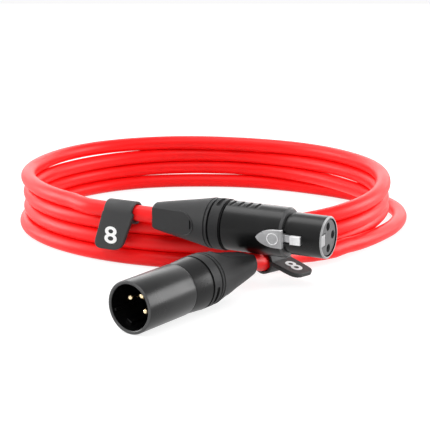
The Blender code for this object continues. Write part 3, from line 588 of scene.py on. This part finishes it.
def curved(points, parts):
    """A smooth curve through points, with each span between the first and last cut in parts."""
    route = []
    for before, start, end, after in zip(points, points[1:], points[2:], points[3:]):
        for i in range(parts):
            t = i / parts
            route.append(
                (
                    2 * start
                    + (end - before) * t
                    + (2 * before - 5 * start + 4 * end - after) * t**2
                    + (3 * start - before - 3 * end + after) * t**3
                )
                / 2
            )
    return route + [points[-2]]


def cable_route():
    """From the socket's boot, once round the coil's four turns, to the plug's boot."""
    first = COIL_FIRST * CABLE_FINENESS
    last = COIL_LAST * CABLE_FINENESS
    coil = [coil_point(i / CABLE_FINENESS) for i in range(first, last + 1)]
    mouth = SOCKET @ Vector((0.0, 0.0, 0.0))
    end = PLUG @ Vector((0.0, 0.0, 0.0))
    before = SOCKET @ Vector((0.0, 0.0, 0.010))
    straight = SOCKET @ Vector((0.0, 0.0, -TAG_PLACE - TAG_LENGTH / 2 - SEAM))
    lead = [mouth.lerp(straight, i / 4) for i in range(4)]
    lead += curved([before, straight, coil[0], coil[CABLE_FINENESS * 3]], 5)[:-1]
    out = [coil[-1 - 3 * CABLE_FINENESS], coil[-1], *reversed(PLUG_LEAD)]
    out += [PLUG @ Vector((0.0, 0.0, -PLUG_LEAD_STRAIGHT)), end]
    tail = curved(out, 3)[1:] + [end]
    return lead + coil + tail


def make_cable(finish):
    route = cable_route()
    curve = bpy.data.curves.new("red_cable", "CURVE")
    curve.dimensions = "3D"
    curve.twist_mode = "Z_UP"
    curve.bevel_depth = CABLE / 2
    curve.bevel_resolution = 12
    curve.use_fill_caps = True
    spline = curve.splines.new("POLY")
    spline.points.add(len(route) - 1)
    for point, place in zip(spline.points, route):
        point.co = (*place, 1.0)
    spline.use_smooth = True
    curve.materials.append(finish)
    cable = bpy.data.objects.new("red_cable", curve)
    bpy.context.collection.objects.link(cable)
    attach(cable, "root")
    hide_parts("lead_female", "cable_coil", "lead_male")
    length = sum((b - a).length for a, b in zip(route, route[1:]))
    return cable, length


# Boots and rings, the same on both connectors.


def boot_radius(height):
    return BOOT_MOUTH + (BOOT_RADIUS - BOOT_MOUTH) * height / BOOT_LENGTH


def boot_flat(along):
    return BOOT_MOUTH_FLAT + BOOT_FLAT_RISE * along


def flat_end():
    """The curve on the boot's cone along the round end of its flat."""
    points = []
    for i in range(25):
        turn = math.pi * (i / 24 - 0.5) * 0.92
        along = BOOT_FLAT_ROUND + (BOOT_FLAT_END - BOOT_FLAT_ROUND) * math.cos(turn)
        across = BOOT_FLAT_HALF * math.sin(turn)
        out = math.sqrt(boot_radius(along) ** 2 - across**2)
        points.append(Vector((out, across, along)))
    return points


def bead(points, radius, sides=10):
    """A closed thread of round section along points, with tapered ends."""
    work = bmesh.new()
    rings = []
    last = len(points) - 1
    for i, point in enumerate(points):
        ahead = points[min(i + 1, last)] - points[max(i - 1, 0)]
        aside = ahead.cross(Vector((1.0, 0.0, 0.0))).normalized()
        upward = aside.cross(ahead).normalized()
        size = radius * min(1.0, 0.1 + 0.3 * min(i, last - i))
        ring = []
        for side in range(sides):
            turn = 2 * math.pi * side / sides
            outward = aside * math.cos(turn) + upward * math.sin(turn)
            ring.append(work.verts.new(point + outward * size))
        rings.append(ring)
    for before, after in zip(rings, rings[1:]):
        for side in range(sides):
            beside = (side + 1) % sides
            work.faces.new((before[side], before[beside], after[beside], after[side]))
    work.faces.new(rings[0])
    work.faces.new(rings[-1])
    bmesh.ops.recalc_face_normals(work, faces=work.faces)
    return work


def make_boot(name, node, place, finish):
    """A tapered boot with a flat on two sides. Each flat ends in a round lip."""
    lip = BOOT_LIP
    outline = [(JACKET_BORE, lip / 2), (JACKET_BORE + lip / 2, 0.0)]
    for i in range(6):
        turn = i / 5 * math.pi / 2
        outline.append((BOOT_MOUTH - lip * (1 - math.sin(turn)), lip * (1 - math.cos(turn))))
    outline += [(boot_radius(height), height) for height in (0.004, 0.008, 0.012, 0.016, 0.020)]
    outline += [
        (boot_radius(BOOT_LENGTH - 0.0016) + 0.0001, BOOT_LENGTH - 0.0016),
        (boot_radius(BOOT_LENGTH - 0.0014) - 0.0002, BOOT_LENGTH - 0.0014),
        (BOOT_RADIUS - 0.0002, BOOT_LENGTH - 0.0002),
        (BOOT_RADIUS - 0.0005, BOOT_LENGTH),
        (TAIL_RADIUS + SEAM, BOOT_LENGTH),
        (TAIL_RADIUS + SEAM, TAIL_START - SEAM),
        (TAIL_BORE, TAIL_START - SEAM),
        (TAIL_BORE, BOOT_NOSE_DEPTH),
        (JACKET_BORE, BOOT_NOSE_DEPTH),
    ]
    side = [(-0.002, -0.012), (BOOT_FLAT_ROUND, -0.012), (BOOT_FLAT_ROUND, -BOOT_FLAT_HALF)]
    for i in range(1, 16):
        turn = math.pi * (i / 16 - 0.5)
        reach = BOOT_FLAT_ROUND + (BOOT_FLAT_END - BOOT_FLAT_ROUND) * math.cos(turn)
        side.append((reach, BOOT_FLAT_HALF * math.sin(turn)))
    side += [(BOOT_FLAT_ROUND, BOOT_FLAT_HALF), (BOOT_FLAT_ROUND, 0.012), (-0.002, 0.012)]
    cuts = []
    lips = []
    for facing in (0.0, math.pi):
        cutter = plate(side, boot_flat, 0.016)
        cutter.transform(Matrix.Rotation(facing, 4, "Z"))
        cuts.append(cutter)
        thread = bead(flat_end(), FLAT_LIP_RADIUS)
        thread.transform(Matrix.Rotation(facing, 4, "Z"))
        lips.append(thread)
    return piece(
        name,
        lathe(outline),
        place,
        finish,
        "root",
        node,
        cuts,
        edge=0.00018,
        inlays=lips,
    )


def make_ring(name, node, place, slot_angle, finish):
    groove = RING_GROOVE
    floor = BOOT_RADIUS - RING_GROOVE_DEPTH
    low = RING_START
    high = RING_END
    outline = [
        (TAIL_RADIUS + SEAM, low),
        (floor, low),
        (floor, low + groove),
        (BOOT_RADIUS - 0.0001, low + groove),
        (BOOT_RADIUS - 0.0001, high - groove),
        (floor, high - groove),
        (floor, high),
        (TAIL_RADIUS + SEAM, high),
    ]
    middle = (low + high) / 2
    across, along = RING_SLOT_HALF
    slot = block(
        (BOOT_RADIUS - RING_SLOT_DEPTH, -across, middle - along),
        (0.014, across, middle + along),
        0.0005,
    )
    slot.transform(Matrix.Rotation(math.radians(slot_angle), 4, "Z"))
    work = lathe(outline)
    return piece(name, work, place, finish, "root", node, [slot], edge=0.00012)


# Socket connector.


def plate_outline(margin=0.0):
    """The push plate's bullet shape: pointed at the back, square at the front."""
    half = PLATE_HALF + margin
    front = PLATE_FRONT + margin
    length = PLATE_LENGTH + 2 * margin
    points = [(front, -half), (front, half)]
    for i in range(13):
        share = i / 12
        points.append((front - length * (0.10 + 0.90 * share), half * (1 - share**2.7) ** 0.75))
    return points + [(along, -across) for along, across in points[-2:1:-1]]


def rim(shell, place, start, end, finish):
    """Another finish on the shell's faces between two heights."""
    shell.data.materials.append(finish)
    into = place.inverted()
    for face in shell.data.polygons:
        if start < (into @ face.center).z < end:
            face.material_index = len(shell.data.materials) - 1


def make_socket_shell(finishes):
    outline = [(TAIL_RADIUS, TAIL_START), (TAIL_RADIUS, BODY_START)]
    outline += [(BODY_RADIUS - 0.0004, BODY_START), (BODY_RADIUS, BODY_START + 0.0004)]
    outline += [
        (BODY_RADIUS, SHOULDER - 0.0006),
        (BODY_RADIUS - 0.0007, SHOULDER + 0.0002),
        (SHOULDER_GROOVE, SHOULDER + 0.0002),
        (SHOULDER_GROOVE, SHOULDER + 0.0023),
        (NOSE_RADIUS, SHOULDER + 0.0023),
        (NOSE_RADIUS, SOCKET_LENGTH - 0.0004),
        (NOSE_RADIUS - 0.0004, SOCKET_LENGTH),
        (NOSE_BORE, SOCKET_LENGTH),
        (NOSE_BORE, BODY_START + 0.0020),
        (TAIL_BORE, BODY_START + 0.0020),
        (TAIL_BORE, TAIL_START),
    ]
    notches = []
    for rib in range(RIBS):
        start = BODY_START + RIB_START + rib * RIB_PITCH
        for turn in (0.5, -0.5):
            low, high = [(x, y, start + z) for x, y, z in NOTCH]
            notch = block(low, high)
            notch.transform(Matrix.Rotation(turn * math.pi, 4, "Z"))
            notches.append(notch)
    margin = SHELL_PLAY
    window = plate(plate_outline(margin), NOSE_BORE / 2, THROUGH)
    half = HOOK_HALF + margin
    slot = block((NOSE_BORE / 2, -half, PLATE_FRONT), (THROUGH, half, HOOK_END + margin))
    shell = piece(
        "socket_shell",
        lathe(outline),
        SOCKET,
        finishes["black_metal"],
        "root",
        "female_housing",
        [window, slot, *notches],
        edge=0.00012,
    )
    # Painted highlight: the nose's front chamfer and rim get a lighter grey in place of the light
    # they catch, partly as bare metal.
    rim(shell, SOCKET, SOCKET_LENGTH - 0.00042, 1.0, finishes["grey_metal_and_rim_highlight"])
    # Painted light: the shoulder's chamfer and front face get a paler grey than the shell in place
    # of the lit lip.
    rim(shell, SOCKET, SHOULDER - 0.00065, SHOULDER + 0.00025, finishes["grey_edge_highlight"])


def make_socket_face(finishes):
    radius = NOSE_BORE - 0.00015
    front = SOCKET_LENGTH - 0.0004
    back = front - FACE_DEPTH
    outline = [(0.0, back), (radius, back), (radius, front - 0.0003), (radius - 0.0003, front)]
    outline.append((0.0, front))
    half = PLATE_HALF + SEAM
    keyway = TONGUE_HALF + SEAM
    cuts = [
        block((NOSE_BORE - 0.0011, -half, back - CUT_PAST), (THROUGH, half, PLATE_FRONT + SEAM)),
        block(
            (NOSE_BORE - 0.0046, -keyway, PLATE_FRONT - CUT_PAST),
            (THROUGH, keyway, front + CUT_PAST),
        ),
        block((NOSE_BORE - 0.0014, -0.0031, front - 0.0050), (THROUGH, 0.0031, front + CUT_PAST)),
    ]
    for angle in PIN_ANGLES:
        at = direction(angle) * HOLE_CIRCLE
        cuts.append(bored(HOLE_RADIUS, at, back, front))
    piece(
        "socket_face",
        lathe(outline),
        SOCKET,
        finishes["insert_plastic"],
        "root",
        "female_insert",
        cuts,
        edge=0.0001,
    )


def make_latch(finishes):
    """Push plate with a round thumb mark, neck, hook and the tongue that runs in the keyway."""
    under = PLATE_TOP - PLATE_THICK
    base = plate(plate_outline(), under, PLATE_TOP)
    neck = block(
        (0.0057, -NECK_HALF, PLATE_FRONT - 0.0016),
        (0.0072, NECK_HALF, HOOK_START + 0.0008),
        0.0002,
    )
    hook = block(
        (0.0055, -HOOK_HALF, HOOK_START),
        (NOSE_RADIUS + 0.0010, HOOK_HALF, HOOK_END),
        0.0002,
    )
    end = SOCKET_LENGTH - 0.0002
    tongue = block((0.0052, -TONGUE_HALF, HOOK_END - 0.0008), (0.0066, TONGUE_HALF, end), 0.00015)
    face = block((0.0030, -TONGUE_HALF, end - 0.0012), (0.0054, TONGUE_HALF, end), 0.00015)
    lug = block((0.0071, -NECK_HALF, LUG[0]), (under + 0.0005, NECK_HALF, LUG[1]))
    pin = Vector((under, 0.0, PLATE_FRONT - PLATE_LENGTH + LATCH_PIN_BACK))
    reach = Vector((0.0, 0.01, 0.0))
    bore = rod(LATCH_PIN_BORE, pin - reach, pin + reach)
    wire = [(0.0019, -0.0001), (0.0020, 0.0001), (0.0022, 0.0001), (0.0023, -0.0001)]
    mark = lathe(wire, 48)
    middle = Matrix.Translation((PLATE_TOP, 0.0, PLATE_FRONT - MARK_BACK))
    mark.transform(middle @ Matrix.Rotation(math.pi / 2, 4, "Y"))
    latch = piece(
        "latch_plate",
        base,
        SOCKET,
        finishes["silver"],
        "latch",
        "female_latch",
        [bore],
        edge=0.00022,
        inlays=[neck, hook, tongue, face, lug, mark],
    )
    latch.data.materials.append(finishes["polish_and_edge_highlight"])
    latch.data.materials.append(finishes["grey_metal_and_rim_highlight"])
    into = SOCKET.inverted()
    for face in latch.data.polygons:
        middle = into @ face.center
        level = (into.to_3x3() @ face.normal).x
        # Painted highlight: the plate's side faces and bevels, not facing +X, and the raised thumb
        # ring get the near-white finish. The hook section does too.
        edge = middle.z < PLATE_FRONT and level < 0.97 and middle.x > under
        if edge or HOOK_START < middle.z < HOOK_END or middle.x > PLATE_TOP + 0.00002:
            face.material_index = 1
        elif middle.z > HOOK_END:
            face.material_index = 2


def make_latch_pin(finish):
    """The pin on which the latch turns."""
    along = PLATE_FRONT - PLATE_LENGTH + LATCH_PIN_BACK
    out = PLATE_TOP - PLATE_THICK
    half = LATCH_PIN_HALF
    pin = rod(LATCH_PIN_RADIUS, (out, -half, along), (out, half, along))
    piece("latch_pin", pin, SOCKET, finish, "root", "female_latch_pin", edge=0.0001)


# Plug connector.


def make_plug_shell(finishes):
    step = PLUG_LENGTH - SHELL_STEP
    lip = 0.0003
    outline = [
        (TAIL_RADIUS, TAIL_START),
        (TAIL_RADIUS, BODY_START),
        (0.0094, BODY_START),
        (0.0097, BODY_START + 0.0003),
        (0.0096, BODY_START + 0.0012),
        (0.0091, step - 0.0004),
        (0.0090, step),
        (SHELL_RADIUS - 0.0001, step + 0.0005),
        (SHELL_RADIUS, step + 0.0009),
        (SHELL_RADIUS, PLUG_LENGTH - lip),
        (SHELL_RADIUS - lip, PLUG_LENGTH),
        (PLUG_BORE + lip, PLUG_LENGTH),
        (PLUG_BORE, PLUG_LENGTH - lip),
        (PLUG_BORE, PLUG_FACE - PLUG_INSERT_LENGTH - 0.0015),
        (TAIL_BORE, PLUG_FACE - PLUG_INSERT_LENGTH - 0.0015),
        (TAIL_BORE, TAIL_START),
    ]
    key = block(
        (PLUG_BORE - 0.0010, -0.0012, PLUG_FACE + SEAM),
        (PLUG_BORE + 0.0006, 0.0012, PLUG_LENGTH - 0.0040),
        0.0002,
    )
    ridge = block(
        (PLUG_BORE - 0.0008, -0.0005, PLUG_FACE + SEAM),
        (PLUG_BORE + 0.0006, 0.0005, PLUG_LENGTH - 0.0012),
        0.0002,
    )
    ridge.transform(Matrix.Rotation(math.radians(RIDGE_ANGLE), 4, "Z"))
    shell = piece(
        "plug_shell",
        lathe(outline, 128),
        PLUG,
        finishes["black_metal"],
        "root",
        "male_shell",
        joins=[key, ridge],
        edge=0.00015,
    )
    # Painted highlight: the rim gets a grey finish in place of the light on its edge.
    rim(shell, PLUG, PLUG_LENGTH - lip, 1.0, finishes["grey_edge_highlight"])
    return shell


def make_plug_base(finishes):
    radius = PLUG_BORE - 0.0002
    back = PLUG_FACE - PLUG_INSERT_LENGTH
    outline = [(0.0, back), (radius, back), (radius, PLUG_FACE - 0.0003)]
    outline += [(radius - 0.0003, PLUG_FACE), (0.0, PLUG_FACE)]
    cuts = [
        block(
            (-THROUGH, -0.0018, back - CUT_PAST),
            (-radius + 0.0010, 0.0018, PLUG_FACE - 0.002),
        )
    ]
    for angle in PIN_ANGLES:
        at = direction(angle) * PIN_CIRCLE
        cuts.append(bored(PIN_RADIUS + 0.0001, at, back, PLUG_FACE))
    return piece(
        "plug_base",
        lathe(outline),
        PLUG,
        finishes["plug_plastic"],
        "root",
        "male_insert",
        cuts,
        edge=0.0001,
    )


def make_pins(finishes):
    tip = PLUG_LENGTH - 0.0038
    back = PLUG_FACE - PLUG_INSERT_LENGTH - 0.0025
    outline = [(0.0, back + 0.002), (0.0008, back + 0.002), (0.0008, back), (PIN_RADIUS, back)]
    for i in range(8):
        turn = i / 8 * math.pi / 2
        outline.append((PIN_RADIUS * math.cos(turn), tip - PIN_RADIUS * (1 - math.sin(turn))))
    outline.append((0.0, tip))
    pins = []
    for number, angle in enumerate(PIN_ANGLES, 1):
        shift = Matrix.Translation(direction(angle) * PIN_CIRCLE)
        pins.append(
            piece(
                f"plug_pin_{number}",
                lathe(outline, 32),
                PLUG @ shift,
                finishes["gold"],
                "root",
                f"male_pin_{number}",
                edge=0.0,
            )
        )
    return pins


# Tags.


def tag_frame(middle, along, hang, lean):
    along = along.normalized()
    outward = along.cross(hang).normalized()
    down = outward.cross(along).normalized()
    turn = Matrix.Rotation(math.radians(lean), 3, along)
    placed = (turn @ Matrix((outward, -down, along)).transposed()).to_4x4()
    placed.translation = middle
    return placed


def make_tag(name, node, body, place, slant, level, facing, finishes):
    """A rubber collar on the cable with a flap below the level and a number on one face."""
    bore = JACKET_BORE
    outer = bore + TAG_WALL
    half = TAG_LENGTH / 2
    reach = TAG_REACH
    corner = TAG_CORNER
    outline = [(-half - 0.0009, 0.0), (half + 0.0004, 0.0)]
    ends = [(half + slant, -reach), (-half + slant, -reach)]
    for point, before, after in ((ends[0], outline[1], ends[1]), (ends[1], ends[0], outline[0])):
        point = Vector(point)
        arrive = (Vector(before) - point).normalized() * corner
        depart = (Vector(after) - point).normalized() * corner
        for i in range(9):
            share = i / 8
            outline.append(tuple(point + arrive * (1 - share) ** 2 + depart * share**2))
    leaf = plate(outline, level - TAG_FLAP, level)
    collar = rod(outer, (0.0, 0.0, -half), (0.0, 0.0, half), 64)
    hole = rod(bore, (0.0, 0.0, -TAG_LENGTH), (0.0, 0.0, TAG_LENGTH), 64)
    tag = piece(
        name,
        collar,
        place,
        finishes["tag_rubber"],
        body,
        node,
        [hole],
        [leaf],
        edge=0.0,
        remesh=TAG_VOXEL,
    )
    number = bpy.data.curves.new(name + "_number", "FONT")
    number.body = "8"
    number.size = NUMBER_SIZE
    number.align_x = "CENTER"
    number.align_y = "CENTER"
    number.extrude = NUMBER_RELIEF
    number.offset = NUMBER_BOLD
    drawn = bpy.data.objects.new(name + "_number", number)
    bpy.context.collection.objects.link(drawn)
    mesh = shaped_mesh(drawn)
    bpy.data.objects.remove(drawn)
    face = level if facing > 0 else level - TAG_FLAP
    upright = Matrix(((0.0, 0.0, facing), (0.0, 1.0, 0.0), (-facing, 0.0, 0.0))).to_4x4()
    upright.translation = (face, -NUMBER_DROP, slant * NUMBER_SHIFT)
    mesh.transform(place @ upright @ Matrix.Diagonal((NUMBER_WIDTH, 1.0, 1.0, 1.0)))
    mesh.materials.append(finishes["white_print"])
    printed = bpy.data.objects.new(name + "_number", mesh)
    bpy.context.collection.objects.link(printed)
    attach(printed, body)
    return [tag, printed]


# Light and floor.


def seen_rays(nodes, links):
    """1 for the rays that show the background: to the camera, in a mirror and through glass."""
    rays = nodes.new("ShaderNodeLightPath")
    result = rays.outputs["Is Camera Ray"]
    for name in ("Is Glossy Ray", "Is Transmission Ray"):
        either = nodes.new("ShaderNodeMath")
        either.operation = "MAXIMUM"
        links.new(result, either.inputs[0])
        links.new(rays.outputs[name], either.inputs[1])
        result = either.outputs[0]
    return result


def make_floor():
    work = bmesh.new()
    bmesh.ops.create_grid(work, x_segments=2, y_segments=2, size=3.0)
    floor = placed_object("floor", work, Matrix.Translation((0.0, 0.0, -0.0001)))
    paint = bpy.data.materials.new("floor_paint")
    paint.use_nodes = True
    nodes = paint.node_tree.nodes
    links = paint.node_tree.links
    nodes.clear()
    output = nodes.new("ShaderNodeOutputMaterial")
    matt = nodes.new("ShaderNodeBsdfDiffuse")
    matt.inputs["Color"].default_value = (FLOOR_SHADE, FLOOR_SHADE, FLOOR_SHADE, 1.0)
    pale = nodes.new("ShaderNodeBsdfDiffuse")
    shade = SEEN_FLOOR_SHADE
    pale.inputs["Color"].default_value = (shade, shade, shade, 1.0)
    glow = nodes.new("ShaderNodeEmission")
    glow.inputs["Strength"].default_value = SEEN_FLOOR_GLOW
    seen = nodes.new("ShaderNodeAddShader")
    choose = nodes.new("ShaderNodeMixShader")
    links.new(seen_rays(nodes, links), choose.inputs[0])
    links.new(pale.outputs[0], seen.inputs[0])
    links.new(glow.outputs[0], seen.inputs[1])
    links.new(matt.outputs[0], choose.inputs[1])
    links.new(seen.outputs[0], choose.inputs[2])
    links.new(choose.outputs[0], output.inputs[0])
    floor.data.materials.append(paint)


def make_world():
    world = bpy.data.worlds.new("studio")
    bpy.context.scene.world = world
    world.use_nodes = True
    nodes = world.node_tree.nodes
    links = world.node_tree.links
    soft = nodes["Background"]
    soft.inputs["Color"].default_value = (1.0, 1.0, 1.0, 1.0)
    soft.inputs["Strength"].default_value = WORLD_LIGHT
    backdrop = nodes.new("ShaderNodeBackground")
    backdrop.inputs["Color"].default_value = (1.0, 1.0, 1.0, 1.0)
    backdrop.inputs["Strength"].default_value = 1.0
    choose = nodes.new("ShaderNodeMixShader")
    links.new(seen_rays(nodes, links), choose.inputs[0])
    links.new(soft.outputs[0], choose.inputs[1])
    links.new(backdrop.outputs[0], choose.inputs[2])
    links.new(choose.outputs[0], nodes["World Output"].inputs["Surface"])


def make_lamp(name, place, aim, size, power):
    lamp = bpy.data.lights.new(name, "AREA")
    lamp.shape = "RECTANGLE"
    lamp.size, lamp.size_y = size
    lamp.energy = power
    holder = bpy.data.objects.new(name, lamp)
    holder.location = place
    holder.rotation_euler = (Vector(aim) - Vector(place)).to_track_quat("-Z", "Y").to_euler()
    bpy.context.collection.objects.link(holder)


set_camera()
finishes = {name: grained(name, *look) for name, look in FINISHES.items()}
cable, length = make_cable(finishes["red_jacket"])

make_boot("socket_boot", "female_boot", SOCKET_BOOT, finishes["boot_rubber"])
make_ring(
    "socket_ring", "female_coding_ring", SOCKET_BOOT, SOCKET_RING_ANGLE, finishes["boot_rubber"]
)
make_socket_shell(finishes)
make_socket_face(finishes)
make_latch(finishes)
make_latch_pin(finishes["spring_steel"])

plug_boot = make_boot("plug_boot", "male_boot", PLUG_BOOT, finishes["boot_rubber"])
plug_ring = make_ring(
    "plug_ring", "male_coding_ring", PLUG_BOOT, PLUG_RING_ANGLE, finishes["boot_rubber"]
)
plug_shell = make_plug_shell(finishes)
plug_base = make_plug_base(finishes)
pins = make_pins(finishes)

socket_along = SOCKET.to_3x3() @ Vector((0.0, 0.0, -1.0))
socket_middle = SOCKET @ Vector((0.0, 0.0, -TAG_PLACE))
down = Vector((0.0, 0.0, -1.0))
socket_place = tag_frame(socket_middle, socket_along, down, SOCKET_TAG_LEAN)
level = JACKET_BORE + TAG_WALL
make_tag(
    "socket_tag", "tag_female", "female_tag", socket_place, SOCKET_TAG_SLANT, level, 1.0, finishes
)
near, far = PLUG_TAG
aside = (far - near).cross(Vector((0.0, 0.0, 1.0)))
plug_place = tag_frame((near + far) / 2, far - near, aside, PLUG_TAG_LEAN)
plug_tag = make_tag(
    "plug_tag", "tag_male", "male_tag", plug_place, PLUG_TAG_SLANT, PLUG_TAG_LEVEL, -1.0, finishes
)

NODE_FINISHES = {
    "female_cable_end": "red_jacket",
    "male_cable_end": "red_jacket",
    "female_contact_1": "gold",
    "female_contact_2": "gold",
    "female_contact_3": "gold",
    "female_latch_spring": "spring_steel",
    "male_ground_spring": "spring_steel",
    "female_chuck": "chuck_plastic",
    "male_chuck": "chuck_plastic",
    "female_wire_1": "bare_core",
    "female_wire_2": "red_core",
    "female_wire_3": "white_core",
    "male_wire_1": "bare_core",
    "male_wire_2": "red_core",
    "male_wire_3": "white_core",
}
for node, finish in NODE_FINISHES.items():
    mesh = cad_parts[node].data
    mesh.materials.clear()
    mesh.materials.append(finishes[finish])

make_floor()
make_world()
for lamp in LAMPS:
    make_lamp(*lamp)
